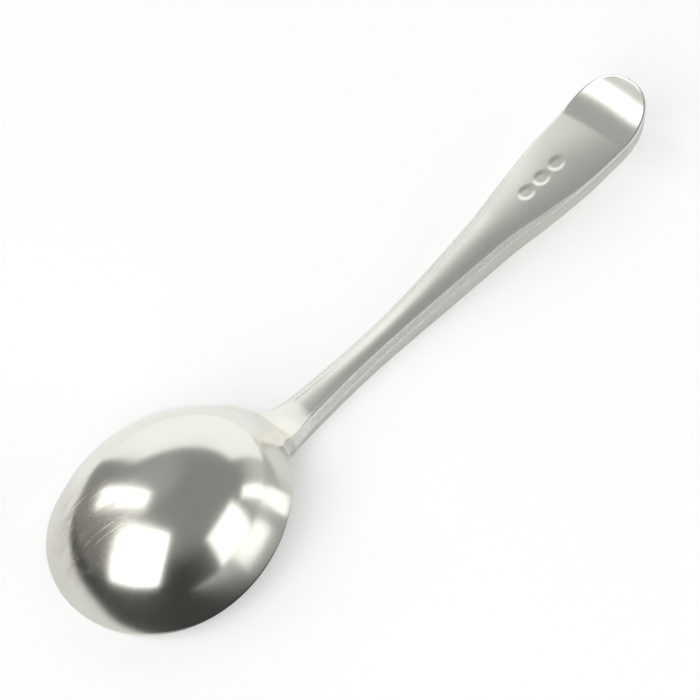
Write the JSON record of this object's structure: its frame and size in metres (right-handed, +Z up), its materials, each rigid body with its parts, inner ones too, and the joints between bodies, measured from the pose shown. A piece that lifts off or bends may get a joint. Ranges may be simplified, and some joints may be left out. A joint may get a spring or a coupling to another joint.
{
  "type": "salt spoon",
  "caption": "Small polished metal salt spoon lying face down: a deep oval bowl brazed to a slim handle that widens to a rounded, turned-up end.",
  "frame": {"origin": "bottom centre of the spoon's box, in the plane of the table that it lies on", "axes": "+X from the bowl to the handle's end, +Z up, away from the table, so the hollow of the bowl faces -Z"},
  "size_m": [0.0764, 0.0198, 0.01],
  "materials": {
    "polished_bowl": "polished, with fine hairline scratches",
    "braze": "flush silver braze, polished over",
    "polished_handle": "polished, slightly worn along the edges"
  },
  "bodies": {
    "root": {"bowl": "polished_bowl", "braze_seam": "braze", "handle": "polished_handle"}
  },
  "joints": []
}
